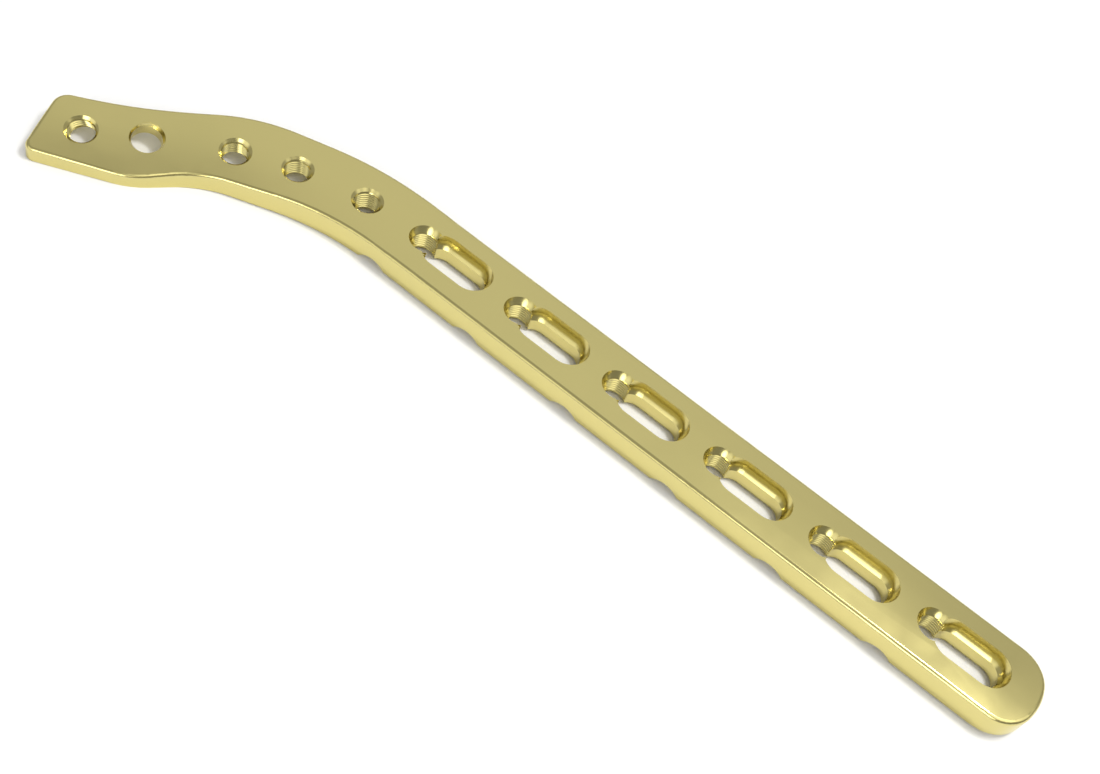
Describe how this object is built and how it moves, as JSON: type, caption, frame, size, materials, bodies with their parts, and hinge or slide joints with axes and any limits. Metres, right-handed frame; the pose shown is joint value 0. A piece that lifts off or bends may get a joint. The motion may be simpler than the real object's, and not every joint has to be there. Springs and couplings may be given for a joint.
{
  "type": "orthopedic bone plate",
  "caption": "Slim metal bone plate with a straight shaft of combination holes and a bent, twisted, thinner head with round screw holes.",
  "frame": {"origin": "axis of the threaded bore of the shaft hole nearest the head, on the shaft's underside", "axes": "+X along the shaft towards its free end, +Z out of the upper face, +Y away from the side the head bends to"},
  "size_m": [0.161, 0.0358, 0.005],
  "materials": {
    "titanium": "satin, gold coloured by anodising"
  },
  "bodies": {
    "root": {"bone_plate": "titanium"}
  },
  "joints": []
}
